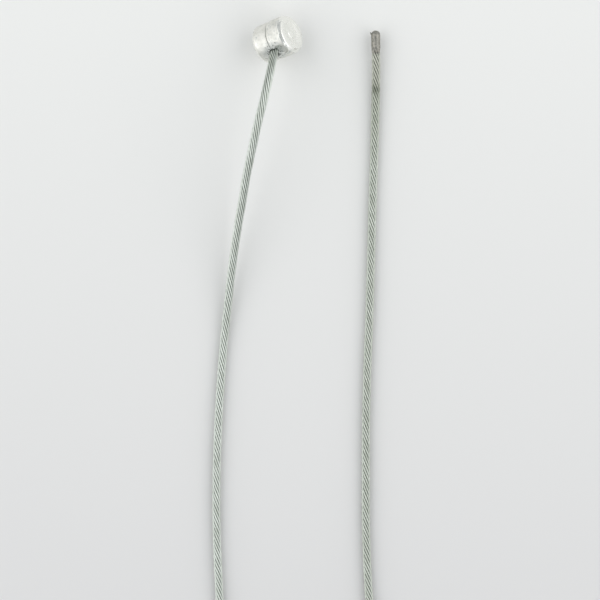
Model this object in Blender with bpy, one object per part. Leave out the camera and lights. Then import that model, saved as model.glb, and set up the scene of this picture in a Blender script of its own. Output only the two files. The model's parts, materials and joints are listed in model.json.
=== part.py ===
"""Inner brake cable: a 1.7 m steel strand with a cast barrel nipple on one end and a fused tip on the other.

It lies as it comes to rest on a table. The nipple leans on the strand's spring, the strand arches out of it
and comes down, and the length between the two ends is wound in a neat coil held by two ties.
+Z is up, +Y runs from the coil to the nipple, and the origin lies on the table under the nipple.
"""

import math

import bmesh
import bpy
from mathutils import Matrix, Vector

MM = 0.001

# The gap that separate pieces keep where the real ones touch.
FIT_GAP = 0.3 * MM

# The strand: nineteen wires laid up to this diameter.
STRAND_DIAMETER = 1.5 * MM

# The nipple, die-cast in two die halves that meet at mid-length, in the plane of the strand.
BARREL_DIAMETER = 7.0 * MM
BARREL_LENGTH = 6.7 * MM
DIE_STEP = 0.05 * MM
PARTING_WIDTH = 0.18 * MM
PARTING_DEPTH = 0.07 * MM
NEAR_RIM_RADIUS = 0.45 * MM
FAR_RIM_RADIUS = 0.7 * MM
DISH_DIAMETER = 4.6 * MM
DISH_DEPTH = 0.16 * MM
DISH_SLOPE = 0.5 * MM
EJECTOR_DIAMETER = 2.0 * MM
EJECTOR_HEIGHT = 0.08 * MM

# The mouth that the strand leaves by, and the cone of spread wires that holds it in the casting.
MOUTH_DIAMETER = 2.5 * MM
MOUTH_DEPTH = 0.6 * MM
CAST_WALL = 1.0 * MM
SPLAY_DIAMETER = 2.8 * MM
SPLAY_LENGTH = 1.3 * MM
STRAIGHT_EXIT = 0.8 * MM

# The shallow round recess that the near die half leaves beside the strand.
RECESS_DIAMETER = 2.5 * MM
RECESS_OFFSET = 1.6 * MM
RECESS_DEPTH = 0.55 * MM
RECESS_SLOPE = 0.25 * MM

# How the nipple leans: its axis up from the table, round from +X, and how far the strand points up.
BARREL_TILT = math.radians(33)
BARREL_TURN = math.radians(20.5)
EXIT_ROLL = math.radians(50)

# The fused tip, where the wires are melted together.
TIP_DIAMETER = 1.66 * MM
TIP_LENGTH = 4.0 * MM

# The coil, wound in flat rows from its outside in and back out, one strand diameter apart.
COIL_CENTRE = (3.5 * MM, -128.0 * MM)
COIL_MIDDLE_DIAMETER = 22.4 * MM
COIL_COLUMNS = 6
COIL_ROWS = 4

# The two ties round the coil, opposite each other so that it lies level, at angles from +X.
TIE_WIDTH = 3.0 * MM
TIE_THICKNESS = 0.35 * MM
TIE_CORNER = 0.8 * MM
TIE_ANGLES = {"coil_tie_left": math.radians(225), "coil_tie_right": math.radians(45)}

# The two ends of a tie, twisted together and laid down on the coil.
TAIL_LENGTH = 6.2 * MM
TAIL_WIDTH = 1.9 * MM
TAIL_THICKNESS = 0.52 * MM
TAIL_START = 0.3 * MM
TAIL_OFFSET = -0.6 * MM
TAIL_HALF_TURNS = 3

# The route in millimetres: x, y and the height of the strand's underside above the table.
# The head's stretch arches out of the nipple and touches down, the tail's lies almost flat.
HEAD_ROUTE = [
    (-1.1, -5.3, 8.4),
    (-1.65, -7.9, 9.8),
    (-2.4, -11.2, 10.6),
    (-3.3, -14.7, 10.4),
    (-4.1, -18.2, 9.7),
    (-4.9, -21.7, 8.6),
    (-5.6, -25.1, 7.3),
    (-6.2, -28.6, 5.9),
    (-7.0, -33.0, 4.2),
    (-7.7, -37.4, 2.8),
    (-8.3, -41.8, 1.6),
    (-8.8, -46.3, 0.8),
    (-9.4, -51.6, 0.2),
    (-9.9, -57.0, 0.0),
    (-10.4, -64.1, 0.0),
    (-10.75, -71.2, 0.0),
    (-10.95, -78.4, 0.0),
    (-10.95, -85.5, 0.0),
    (-10.75, -92.6, 0.0),
    (-10.4, -99.8, 0.0),
    (-10.4, -106.8, 0.2),
    (-11.0, -113.5, 0.5),
]
TAIL_ROUTE = [
    (17.4, 2.0, 1.0),
    (17.5, -5.3, 0.5),
    (17.4, -12.0, 0.2),
    (17.2, -20.0, 0.0),
    (16.9, -28.4, 0.0),
    (16.7, -35.6, 0.0),
    (16.5, -42.7, 0.0),
    (16.3, -49.8, 0.0),
    (16.0, -57.0, 0.0),
    (15.8, -64.1, 0.0),
    (15.7, -71.2, 0.0),
    (15.7, -78.4, 0.0),
    (15.7, -85.5, 0.0),
    (15.9, -92.6, 0.0),
    (16.1, -97.0, 0.0),
    (16.4, -101.0, 0.2),
    (16.9, -105.0, 0.8),
    (17.5, -109.0, 1.9),
    (18.0, -113.0, 3.3),
    (18.3, -117.0, 4.5),
]

# The strand has a route point to draw through about every two and a half diameters.
POINT_SPACING = 2.5 * STRAND_DIAMETER

# How finely round forms are cut.
BARREL_SIDES = 56
BORE_SIDES = 28
COIL_SIDES = 48
TIP_SIDES = 16
ARC_STEPS = 5
TAIL_STEPS = 18
CRISP_ANGLE = math.radians(32)

STRAND_RADIUS = STRAND_DIAMETER / 2
BARREL_RADIUS = BARREL_DIAMETER / 2
HALF_LENGTH = BARREL_LENGTH / 2
ROOT_DEPTH = BARREL_RADIUS - CAST_WALL - FIT_GAP
STRAND_START = BARREL_RADIUS - MOUTH_DEPTH
ROOT_TOP = STRAND_START - FIT_GAP
COIL_WIDTH = COIL_COLUMNS * STRAND_DIAMETER
COIL_HEIGHT = COIL_ROWS * STRAND_DIAMETER
COIL_LIFT = TIE_THICKNESS + FIT_GAP
COIL_INNER = (COIL_MIDDLE_DIAMETER - COIL_WIDTH) / 2
COIL_OUTER = (COIL_MIDDLE_DIAMETER + COIL_WIDTH) / 2
OUTER_TURN = COIL_OUTER - STRAND_RADIUS


def clear_scene():
    for obj in list(bpy.data.objects):
        bpy.data.objects.remove(obj, do_unlink=True)


def material(name, colour, roughness, metallic):
    made = bpy.data.materials.new(name)
    made.use_nodes = True
    shader = made.node_tree.nodes["Principled BSDF"]
    shader.inputs["Base Color"].default_value = (*colour, 1.0)
    shader.inputs["Roughness"].default_value = roughness
    shader.inputs["Metallic"].default_value = metallic
    made.diffuse_color = (*colour, 1.0)
    return made


def arc(centre, radius, start, end, steps=ARC_STEPS):
    """Points (radius, height) along an arc from one angle in degrees to another, with both ends."""
    points = []
    for step in range(steps + 1):
        angle = math.radians(start + (end - start) * step / steps)
        points.append((centre[0] + radius * math.cos(angle), centre[1] + radius * math.sin(angle)))
    return points


def turned_mesh(name, profile, sides, turn=None):
    """A solid of revolution about Z of a profile of (radius, height) points that starts and ends on the axis."""
    shape = bmesh.new()
    verts = [shape.verts.new((radius, 0, height)) for radius, height in profile]
    edges = [shape.edges.new(pair) for pair in zip(verts, verts[1:])]
    bmesh.ops.spin(
        shape, geom=verts + edges, cent=(0, 0, 0), axis=(0, 0, 1), angle=math.tau, steps=sides, use_merge=True
    )
    bmesh.ops.remove_doubles(shape, verts=shape.verts, dist=0.001 * MM)
    bmesh.ops.recalc_face_normals(shape, faces=shape.faces)
    if turn is not None:
        bmesh.ops.transform(shape, matrix=turn, verts=shape.verts)
    mesh = bpy.data.meshes.new(name)
    shape.to_mesh(mesh)
    shape.free()
    shade(mesh)
    return mesh


def shade(mesh):
    """Smooth shading, with the edges of flat faces and holes left crisp."""
    mesh.shade_smooth()
    mesh.set_sharp_from_angle(angle=CRISP_ANGLE)


def add_object(name, data, finish):
    obj = bpy.data.objects.new(name, data)
    bpy.context.scene.collection.objects.link(obj)
    if finish is not None:
        data.materials.append(finish)
    return obj


def combine(obj, other, operation):
    """Adds the other object's shape to this one, or cuts it out, and keeps the result as this one's mesh."""
    other.hide_render = True
    other.display_type = "WIRE"
    cut = obj.modifiers.new("combine", "BOOLEAN")
    cut.operation = operation
    cut.object = other
    bpy.context.view_layer.update()
    evaluated = obj.evaluated_get(bpy.context.evaluated_depsgraph_get())
    whole = obj.data
    obj.data = bpy.data.meshes.new_from_object(evaluated)
    obj.modifiers.remove(cut)
    bpy.data.meshes.remove(whole)
    bpy.data.objects.remove(other)
    obj.data.name = obj.name
    shade(obj.data)


def nipple_profile():
    """The barrel's outline from its far end to its near one, with a dished face at each end."""
    near = BARREL_RADIUS
    far = near - DIE_STEP
    dish = DISH_DIAMETER / 2
    floor = HALF_LENGTH - DISH_DEPTH
    pip = EJECTOR_DIAMETER / 2
    far_face = [(0, -floor), (dish - DISH_SLOPE, -floor), (dish, -HALF_LENGTH)]
    far_rim = arc((far - FAR_RIM_RADIUS, FAR_RIM_RADIUS - HALF_LENGTH), FAR_RIM_RADIUS, -90, 0)
    parting = [
        (far, -PARTING_WIDTH / 2),
        (far - PARTING_DEPTH, 0),
        (near, PARTING_WIDTH / 2),
    ]
    near_rim = arc((near - NEAR_RIM_RADIUS, HALF_LENGTH - NEAR_RIM_RADIUS), NEAR_RIM_RADIUS, 0, 90)
    near_face = [
        (dish, HALF_LENGTH),
        (dish - DISH_SLOPE, floor),
        (pip, floor),
        (pip - EJECTOR_HEIGHT, floor + EJECTOR_HEIGHT),
        (0, floor + EJECTOR_HEIGHT),
    ]
    return far_face + far_rim + parting + near_rim + near_face


def root_profile():
    """The strand's end in the casting: straight, with its wires spread to a cone at the inner end."""
    splay = SPLAY_DIAMETER / 2
    return [
        (0, -ROOT_DEPTH),
        (splay, -ROOT_DEPTH),
        (splay, -ROOT_DEPTH + SPLAY_LENGTH / 4),
        (STRAND_RADIUS, -ROOT_DEPTH + SPLAY_LENGTH),
        (STRAND_RADIUS, ROOT_TOP),
        (0, ROOT_TOP),
    ]


def bore_profile():
    """What the casting leaves open: the root's own shape with a gap round it, and the flared mouth."""
    splay = SPLAY_DIAMETER / 2 + FIT_GAP
    bore = STRAND_RADIUS + FIT_GAP
    mouth = MOUTH_DIAMETER / 2
    flare = []
    for step in range(ARC_STEPS + 1):
        share = step / ARC_STEPS
        flare.append((bore + (mouth - bore) * math.sqrt(share), STRAND_START + MOUTH_DEPTH * share))
    return [
        (0, -ROOT_DEPTH - FIT_GAP),
        (splay, -ROOT_DEPTH - FIT_GAP),
        (splay, -ROOT_DEPTH + SPLAY_LENGTH / 4 + FIT_GAP),
        (bore, -ROOT_DEPTH + SPLAY_LENGTH + FIT_GAP),
        *flare,
        (mouth, BARREL_DIAMETER),
        (0, BARREL_DIAMETER),
    ]


def recess_profile():
    """The recess beside the strand: a shallow round pocket with a sloping wall."""
    floor = BARREL_RADIUS - RECESS_DEPTH
    wide = RECESS_DIAMETER / 2
    return [
        (0, floor),
        (wide - RECESS_SLOPE, floor),
        (wide, BARREL_RADIUS),
        (wide, BARREL_DIAMETER),
        (0, BARREL_DIAMETER),
    ]


def nipple_turn():
    """The nipple's own axes in the world: +Z along the barrel to its near face, +X out of the mouth."""
    along = Vector(
        (
            math.cos(BARREL_TILT) * math.cos(BARREL_TURN),
            math.cos(BARREL_TILT) * math.sin(BARREL_TURN),
            math.sin(BARREL_TILT),
        )
    )
    level = along.cross(Vector((0, 0, 1))).normalized()
    upper = level.cross(along)
    exit_way = math.cos(EXIT_ROLL) * level + math.sin(EXIT_ROLL) * upper
    side = along.cross(exit_way)
    return Matrix((exit_way, side, along)).transposed().to_4x4()


def nipple_place(mesh, turn):
    """The turned nipple moved so that it stands on the table with its box centred on the origin."""
    corners = [turn @ vert.co for vert in mesh.vertices]
    lows = [min(corner[axis] for corner in corners) for axis in range(3)]
    highs = [max(corner[axis] for corner in corners) for axis in range(3)]
    shift = Vector((-(lows[0] + highs[0]) / 2, -(lows[1] + highs[1]) / 2, -lows[2]))
    return Matrix.Translation(shift) @ turn


def make_nipple(zinc, steel):
    """The cast barrel with its bore, and the strand's spread root inside it. Returns the nipple's place."""
    mesh = turned_mesh("nipple", nipple_profile(), BARREL_SIDES)
    place = nipple_place(mesh, nipple_turn())
    nipple = add_object("nipple", mesh, zinc)
    nipple.matrix_world = place

    # The bore runs along the nipple's own +X, so its cutter and the root are turned from Z to X.
    z_to_x = Matrix.Rotation(math.radians(90), 4, "Y")
    beside = Matrix.Translation((0, 0, RECESS_OFFSET)) @ z_to_x
    for name, profile, turn in (("bore", bore_profile(), z_to_x), ("recess", recess_profile(), beside)):
        cutter = add_object(name, turned_mesh(name, profile, BORE_SIDES, turn), None)
        cutter.matrix_world = place
        combine(nipple, cutter, "DIFFERENCE")

    root = add_object("splayed_root", turned_mesh("splayed_root", root_profile(), BORE_SIDES, z_to_x), steel)
    root.matrix_world = place
    return place


def smooth_route(points, spacing):
    """A Catmull-Rom curve through the points, read about every `spacing`, with both ends kept."""
    ends = [2 * points[0] - points[1], *points, 2 * points[-1] - points[-2]]
    fine = [points[0]]
    for before, start, end, after in zip(ends, ends[1:], ends[2:], ends[3:]):
        knots = [0.0]
        for first, second in ((before, start), (start, end), (end, after)):
            knots.append(knots[-1] + math.sqrt((second - first).length))
        for step in range(1, 21):
            at = knots[1] + (knots[2] - knots[1]) * step / 20
            fine.append(catmull_rom((before, start, end, after), knots, at))
    lengths = [0.0]
    for first, second in zip(fine, fine[1:]):
        lengths.append(lengths[-1] + (second - first).length)
    count = max(2, round(lengths[-1] / spacing))
    read = []
    index = 0
    for step in range(count + 1):
        wanted = lengths[-1] * step / count
        while index < len(lengths) - 2 and lengths[index + 1] < wanted:
            index += 1
        share = (wanted - lengths[index]) / (lengths[index + 1] - lengths[index])
        point = fine[index].lerp(fine[index + 1], share)
        # The curve may dip a little between its points, and the strand doesn't sink into the table.
        point.z = max(point.z, STRAND_RADIUS)
        read.append(point)
    return read


def between(first, second, start, end, at):
    return first.lerp(second, (at - start) / (end - start))


def catmull_rom(points, knots, at):
    """The point at a knot value on the Catmull-Rom curve from the second of four points to the third."""
    sides = [between(points[i], points[i + 1], knots[i], knots[i + 1], at) for i in range(3)]
    halves = [between(sides[i], sides[i + 1], knots[i], knots[i + 2], at) for i in range(2)]
    return between(halves[0], halves[1], knots[1], knots[2], at)


def on_table(route):
    """The route's points in metres, at the strand's centre."""
    return [Vector((x * MM, y * MM, lift * MM + STRAND_RADIUS)) for x, y, lift in route]


def coil_end(side, row, clear=0.0):
    """A point of the straight that runs level into the coil, at a distance from where it becomes a turn.

    side is -1 where the stretch comes in on the left and 1 on the right, and row counts up from the table.
    """
    height = COIL_LIFT + (row + 0.5) * STRAND_DIAMETER
    return Vector((COIL_CENTRE[0] + side * OUTER_TURN, COIL_CENTRE[1] + clear, height))


def coil_stretch(before, route, side, row):
    """The smooth line of a stretch into the coil, ended a gap short of the coil's solid."""
    clear = math.sqrt((COIL_OUTER + FIT_GAP) ** 2 - (OUTER_TURN - STRAND_RADIUS) ** 2)
    last = coil_end(side, row, clear)
    line = smooth_route([*before, *on_table(route), last, coil_end(side, row)], POINT_SPACING)
    return [point for point in line if point.y > last.y + STRAND_DIAMETER] + [last]


def make_tube(name, points, steel):
    """A round cord along a poly line, closed at both ends."""
    curve = bpy.data.curves.new(name, "CURVE")
    curve.dimensions = "3D"
    curve.bevel_depth = STRAND_RADIUS
    curve.bevel_resolution = 2
    curve.use_fill_caps = True
    spline = curve.splines.new("POLY")
    spline.points.add(len(points) - 1)
    for target, point in zip(spline.points, points):
        target.co = (*point, 1.0)
    return add_object(name, curve, steel)


def make_head_stretch(place, steel):
    """The stretch from the mouth to the coil's lowest row."""
    start = place @ Vector((STRAND_START, 0, 0))
    straight = place @ Vector((BARREL_RADIUS + STRAIGHT_EXIT, 0, 0))
    make_tube("head_stretch", coil_stretch([start, straight], HEAD_ROUTE, -1, 0), steel)


def make_tail_stretch(steel, darkened):
    """The stretch from the fused tip to the coil's top row, and the tip itself."""
    route = coil_stretch([], TAIL_ROUTE, 1, COIL_ROWS - 1)
    way = (route[1] - route[0]).normalized()
    first = route[0] + way * (TIP_LENGTH + FIT_GAP)
    rest = [point for point in route if (point - route[0]).dot(way) > TIP_LENGTH + POINT_SPACING]
    make_tube("tail_stretch", [first, *rest], steel)

    # The tip's nose is a half ball, and its own +Z points from the nose into the strand.
    radius = TIP_DIAMETER / 2
    profile = [
        *arc((0, radius), radius, -90, 0),
        (radius, TIP_LENGTH - STRAND_DIAMETER),
        (STRAND_RADIUS, TIP_LENGTH - STRAND_DIAMETER / 2),
        (STRAND_RADIUS, TIP_LENGTH),
        (0, TIP_LENGTH),
    ]
    tip = add_object("fused_tip", turned_mesh("fused_tip", profile, TIP_SIDES), darkened)
    tip.matrix_world = Matrix.Translation(route[0]) @ way.to_track_quat("Z", "Y").to_matrix().to_4x4()


def make_coil(steel):
    """The outer shape of all the coil's turns: a turned ring with rounded edges."""
    edge = STRAND_RADIUS
    low = COIL_LIFT
    high = COIL_LIFT + COIL_HEIGHT
    outline = [
        *arc((COIL_OUTER - edge, low + edge), edge, -90, 0, 3),
        *arc((COIL_OUTER - edge, high - edge), edge, 0, 90, 3),
        *arc((COIL_INNER + edge, high - edge), edge, 90, 180, 3),
        *arc((COIL_INNER + edge, low + edge), edge, 180, 270, 3),
    ]
    shape = bmesh.new()
    verts = [shape.verts.new((radius, 0, height)) for radius, height in outline]
    edges = [shape.edges.new(pair) for pair in zip(verts, verts[1:] + verts[:1])]
    bmesh.ops.spin(
        shape, geom=verts + edges, cent=(0, 0, 0), axis=(0, 0, 1), angle=math.tau, steps=COIL_SIDES, use_merge=True
    )
    bmesh.ops.recalc_face_normals(shape, faces=shape.faces)
    mesh = bpy.data.meshes.new("coil")
    shape.to_mesh(mesh)
    shape.free()
    shade(mesh)
    coil = add_object("coil", mesh, steel)
    coil.location = (*COIL_CENTRE, 0)


def rounded_box(half_width, low, high, corner, steps=3):
    """The outline of a box with round corners, as (across, height) points."""
    return [
        *arc((half_width - corner, low + corner), corner, -90, 0, steps),
        *arc((half_width - corner, high - corner), corner, 0, 90, steps),
        *arc((corner - half_width, high - corner), corner, 90, 180, steps),
        *arc((corner - half_width, low + corner), corner, 180, 270, steps),
    ]


def tail_mesh(name, top):
    """A tie's two ends as one twisted bar, which rises from the band's top and comes down on the coil beside it."""
    half = TAIL_WIDTH / 2
    thin = TAIL_THICKNESS / 2
    outline = rounded_box(half, -thin, thin, thin / 2, 1)
    raised = top + TIE_THICKNESS + half
    heights = (raised - half + thin / 2, raised, raised - FIT_GAP)
    shape = bmesh.new()
    rings = []
    for step in range(TAIL_STEPS + 1):
        share = step / TAIL_STEPS
        turn = math.pi * TAIL_HALF_TURNS * share
        if share < 0.2:
            height = heights[0] + (heights[1] - heights[0]) * share / 0.2
        else:
            height = heights[1] + (heights[2] - heights[1]) * min(1.0, (share - 0.2) / 0.4)
        middle = Vector((TAIL_OFFSET, TAIL_START + TAIL_LENGTH * share, height))
        wide = Vector((math.cos(turn), 0, math.sin(turn)))
        thick = Vector((-math.sin(turn), 0, math.cos(turn)))
        rings.append([shape.verts.new(middle + wide * a + thick * b) for a, b in outline])
    for first, second in zip(rings, rings[1:]):
        for i in range(len(outline)):
            j = (i + 1) % len(outline)
            shape.faces.new((first[i], first[j], second[j], second[i]))
    shape.faces.new(rings[0])
    shape.faces.new(rings[-1])
    bmesh.ops.recalc_face_normals(shape, faces=shape.faces)
    mesh = bpy.data.meshes.new(name)
    shape.to_mesh(mesh)
    shape.free()
    return mesh


def make_tie(name, angle, plastic):
    """A flat band round the coil's section, standing on the table under it, with its twisted ends on top."""
    half = TIE_WIDTH / 2
    inner_wall = math.sqrt(COIL_INNER**2 - half**2) - FIT_GAP
    outer_wall = COIL_OUTER + FIT_GAP
    half_width = (outer_wall - inner_wall) / 2
    top = COIL_LIFT + COIL_HEIGHT + FIT_GAP
    inside = rounded_box(half_width, TIE_THICKNESS, top, TIE_CORNER)
    outside = rounded_box(half_width + TIE_THICKNESS, 0, top + TIE_THICKNESS, TIE_CORNER + TIE_THICKNESS)

    shape = bmesh.new()
    loops = {}
    for side in (-half, half):
        for which, outline in (("inside", inside), ("outside", outside)):
            loops[side, which] = [shape.verts.new((across, side, height)) for across, height in outline]
    count = len(inside)
    walls = (
        (loops[-half, "outside"], loops[half, "outside"]),
        (loops[half, "outside"], loops[half, "inside"]),
        (loops[half, "inside"], loops[-half, "inside"]),
        (loops[-half, "inside"], loops[-half, "outside"]),
    )
    for first, second in walls:
        for i in range(count):
            j = (i + 1) % count
            shape.faces.new((first[i], first[j], second[j], second[i]))
    bmesh.ops.recalc_face_normals(shape, faces=shape.faces)
    mesh = bpy.data.meshes.new(name)
    shape.to_mesh(mesh)
    shape.free()
    shade(mesh)
    tie = add_object(name, mesh, plastic)
    combine(tie, add_object("tail", tail_mesh("tail", top), plastic), "UNION")
    reach = (outer_wall + inner_wall) / 2
    tie.location = (
        COIL_CENTRE[0] + reach * math.cos(angle),
        COIL_CENTRE[1] + reach * math.sin(angle),
        0,
    )
    tie.rotation_euler = (0, 0, angle)


def main():
    clear_scene()
    zinc = material("cast_zinc", (0.62, 0.62, 0.58), 0.38, 0.9)
    steel = material("galvanised_steel_wire", (0.42, 0.43, 0.40), 0.34, 1.0)
    darkened = material("heat_darkened_steel", (0.16, 0.14, 0.12), 0.45, 1.0)
    plastic = material("tie_plastic", (0.72, 0.73, 0.72), 0.5, 0.0)
    place = make_nipple(zinc, steel)
    make_head_stretch(place, steel)
    make_tail_stretch(steel, darkened)
    make_coil(steel)
    for name, angle in TIE_ANGLES.items():
        make_tie(name, angle, plastic)


main()
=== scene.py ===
"""Inner brake cable: the strand, its cast nipple and fused tip, the ties round its coil, and a plain studio.

The nipple stands at the origin. The strand runs from its mouth along -Y into a tied coil and back to the tip.
"""

import json
import math

import bmesh
import bpy
from bpy.props import FloatProperty, FloatVectorProperty, IntProperty, PointerProperty
from mathutils import Matrix, Vector, noise

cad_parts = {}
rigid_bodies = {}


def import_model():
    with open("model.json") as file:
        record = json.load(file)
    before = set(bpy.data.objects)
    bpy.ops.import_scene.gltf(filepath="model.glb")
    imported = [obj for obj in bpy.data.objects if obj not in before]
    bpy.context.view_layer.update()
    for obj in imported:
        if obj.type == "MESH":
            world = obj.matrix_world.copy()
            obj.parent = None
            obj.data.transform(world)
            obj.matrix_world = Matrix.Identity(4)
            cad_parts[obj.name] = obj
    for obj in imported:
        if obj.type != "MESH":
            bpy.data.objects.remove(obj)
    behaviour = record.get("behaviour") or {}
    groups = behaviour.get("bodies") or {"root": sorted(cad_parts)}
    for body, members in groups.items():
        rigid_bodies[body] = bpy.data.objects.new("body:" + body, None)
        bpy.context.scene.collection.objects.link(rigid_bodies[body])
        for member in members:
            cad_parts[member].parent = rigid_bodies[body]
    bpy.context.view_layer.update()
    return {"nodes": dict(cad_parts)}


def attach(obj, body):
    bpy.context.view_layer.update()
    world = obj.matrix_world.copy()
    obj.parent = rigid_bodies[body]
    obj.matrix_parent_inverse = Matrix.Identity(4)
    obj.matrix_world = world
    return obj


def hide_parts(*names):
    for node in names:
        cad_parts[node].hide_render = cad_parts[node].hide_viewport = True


bl_info = {
    "name": "Inner Brake Cable",
    "version": (1, 0, 0),
    "blender": (4, 5, 0),
    "location": "View3D > Sidebar > Brake Cable",
    "description": "Builds a stranded inner brake cable with a cast nipple, a fused tip and a tied coil",
    "category": "Add Mesh",
}

for startup_object in list(bpy.data.objects):
    bpy.data.objects.remove(startup_object, do_unlink=True)
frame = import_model()

MM = 0.001

# The route of the source, in millimetres: x, y and the height of the strand's underside above the table.
HEAD_ROUTE = [
    (-1.1, -5.3, 8.4), (-1.65, -7.9, 9.8), (-2.4, -11.2, 10.6), (-3.3, -14.7, 10.4), (-4.1, -18.2, 9.7),
    (-4.9, -21.7, 8.6), (-5.6, -25.1, 7.3), (-6.2, -28.6, 5.9), (-7.0, -33.0, 4.2), (-7.7, -37.4, 2.8),
    (-8.3, -41.8, 1.6), (-8.8, -46.3, 0.8), (-9.4, -51.6, 0.2), (-9.9, -57.0, 0.0), (-10.4, -64.1, 0.0),
    (-10.75, -71.2, 0.0), (-10.95, -78.4, 0.0), (-10.95, -85.5, 0.0), (-10.75, -92.6, 0.0),
    (-10.4, -99.8, 0.0), (-10.4, -106.8, 0.2), (-11.0, -113.5, 0.5),
]
TAIL_ROUTE = [
    (17.4, 1.72, 1.0), (17.5, -5.3, 0.5), (17.4, -12.0, 0.2), (17.2, -20.0, 0.0), (16.9, -28.4, 0.0),
    (16.7, -35.6, 0.0), (16.5, -42.7, 0.0), (16.3, -49.8, 0.0), (16.0, -57.0, 0.0), (15.8, -64.1, 0.0),
    (15.7, -71.2, 0.0), (15.7, -78.4, 0.0), (15.7, -85.5, 0.0), (15.9, -92.6, 0.0), (16.1, -97.0, 0.0),
    (16.4, -101.0, 0.2), (16.9, -105.0, 0.8), (17.5, -109.0, 1.9), (18.0, -113.0, 3.3), (18.3, -117.0, 4.5),
]

# The nipple's place: its middle, its lean and how far the strand points up out of it.
NIPPLE_MIDDLE = Vector((-0.0661, -0.0551, 4.4478)) * MM
BARREL_TILT = math.radians(33)
BARREL_TURN = math.radians(20.5)
EXIT_ROLL = math.radians(50)
BARREL_RADIUS = 3.5 * MM
HALF_LENGTH = 3.35 * MM
STRAND_START = 2.9 * MM
RECESS_OFFSET = 1.6 * MM
RIM_WIDTH = 0.4 * MM
STRAIGHT_EXIT = 0.8 * MM

# The strand and the coil, which lies a tie's thickness and a gap above the table.
STRAND_DIAMETER = 1.5 * MM
STRAND_RADIUS = STRAND_DIAMETER / 2
CABLE_LENGTH = 1.7
TIP_LENGTH = 4.0 * MM
FIT_GAP = 0.3 * MM
TIE_THICKNESS = 0.35 * MM
COIL_CENTRE = (3.5 * MM, -128.0 * MM)
COIL_COLUMNS = 6
COIL_ROWS = 4
COIL_TURNS = 20.5
COIL_MIDDLE_DIAMETER = 22.4 * MM
COIL_LIFT = TIE_THICKNESS + FIT_GAP
COIL_WIDTH = COIL_COLUMNS * STRAND_DIAMETER
COIL_HEIGHT = COIL_ROWS * STRAND_DIAMETER
COIL_INNER = (COIL_MIDDLE_DIAMETER - COIL_WIDTH) / 2
COIL_OUTER = (COIL_MIDDLE_DIAMETER + COIL_WIDTH) / 2
OUTER_TURN = COIL_OUTER - STRAND_RADIUS
TIE_ANGLES = {"coil_tie_left": math.radians(225), "coil_tie_right": math.radians(45)}

# How far apart the strand's rings lie where the photograph shows it and in the coil.
OPEN_RING_STEP = 0.3 * MM
COIL_RING_STEP = 0.85 * MM

# The fused tip: the length over which its wires run together, how far the strand reaches into it, how far
# from the nose its burr stands, and the angle between two wires that stays a crease.
MELT_LENGTH = 1.5 * MM
TIP_OVERLAP = 0.9 * MM
BURR_ROOT = 0.75 * MM
WIRE_CREASE = math.radians(75)

# The casting: the step between its two halves, its dished faces, the ejector's mark, how far round the mouth
# it is soiled and painted with shade, the depth of the root's cavity and how far out the bore and the pocket
# are cut.
DIE_STEP = 0.05 * MM
DISH_RADIUS = 2.3 * MM
DISH_DEPTH = 0.16 * MM
EJECTOR_RADIUS = 1.0 * MM
MOUTH_SOIL_AND_SHADE_REACH = 3.2 * MM
CAVITY_DEPTH = 2.2 * MM
CUT_TOP = 7.0 * MM

# The ties: the core that bulges their band, and the ends twisted together on top.
TIE_CORNER = 0.8 * MM
CORE_HALF_WIDTH = 0.36 * MM
CORE_BULGE = 0.11 * MM
TAIL_HALF_WIDTH = 0.95 * MM
TAIL_HALF_THICKNESS = 0.26 * MM
TAIL_CORNER = 0.2 * MM
TAIL_LENGTH = 6.2 * MM
TAIL_HALF_TURNS = 3.0

# The stage, in metres: half the side of the table and the two lamps' width and height.
TABLE_REACH = 2.5
LAMP_SIZE = (1.0, 0.6)

# What the materials share: the depth of their bump, the smooth change from one range of values to another,
# and the sockets that a Mix node uses for colours. Noise takes a place, a fourth coordinate that stays 0, a
# scale, a detail and a roughness.
BUMP_DEPTH = 0.02 * MM
SMOOTH = {"interpolation_type": "SMOOTHSTEP"}
FACTOR, UNDER, OVER, MIXED = 0, 6, 7, 2
# How far from the nose the strand has stayed duller than the rest.
DULL_END = 120 * MM


def linear(code):
    """An sRGB hex code as a linear colour."""
    shades = [int(code[i : i + 2], 16) / 255 for i in (0, 2, 4)]
    return (*[c / 12.92 if c <= 0.04045 else ((c + 0.055) / 1.055) ** 2.4 for c in shades], 1.0)


def colour(name, description, code):
    return FloatVectorProperty(
        name=name, description=description, default=linear(code), size=4, subtype="COLOR", min=0, max=1
    )


def length(name, description, default):
    return FloatProperty(
        name=name, description=description, default=default, unit="LENGTH", min=0, precision=5
    )


def power(name, description, default):
    return FloatProperty(name=name, description=description, default=default, unit="POWER", min=0)


class StrandSettings(bpy.types.PropertyGroup):
    """Sizes and colours of the stranded wire."""

    wires: IntProperty(name="Outer wires", description="Wires in the outer layer", default=9, min=3)
    wire_diameter: length("Wire diameter", "Diameter of one outer wire", 0.38 * MM)
    lay_length: length("Lay length", "Length in which a wire goes once round", 9.8 * MM)
    bright: colour("Bright zinc", "Rubbed crests of the galvanised wires", "E0E5DF")
    dull: colour("Dull zinc", "Weathered zinc between them", "C8CEC6")
    # This colour is partly drawing soap and dust, and partly painted shade between the wires.
    groove_soap_and_shade: colour("Groove", "Drawing soap and dust in the grooves", "90968D")


class NippleSettings(bpy.types.PropertyGroup):
    """Sizes and colours of the cast nipple."""

    sides: IntProperty(name="Sides", description="Faces round the barrel", default=224, min=32)
    near_skin: length("Near half's skin", "Depth of the rough casting skin of the near half", 0.04 * MM)
    far_skin: length("Far half's skin", "Depth of the smoother skin of the far half", 0.032 * MM)
    zinc: colour("Zinc", "Fresh zinc alloy", "ECEBE5")
    rubbed: colour("Rubbed zinc", "Zinc that tumbling has brightened", "F7F7F2")
    oxide: colour("Oxide", "Duller oxide patches", "D6D6CF")
    # This colour is die lubricant in the skin's hollows, and also painted shade round the mouth and on the
    # bore's walls.
    stain_and_shade: colour("Stain", "Die lubricant left in hollows", "A1ACAD")


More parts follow.
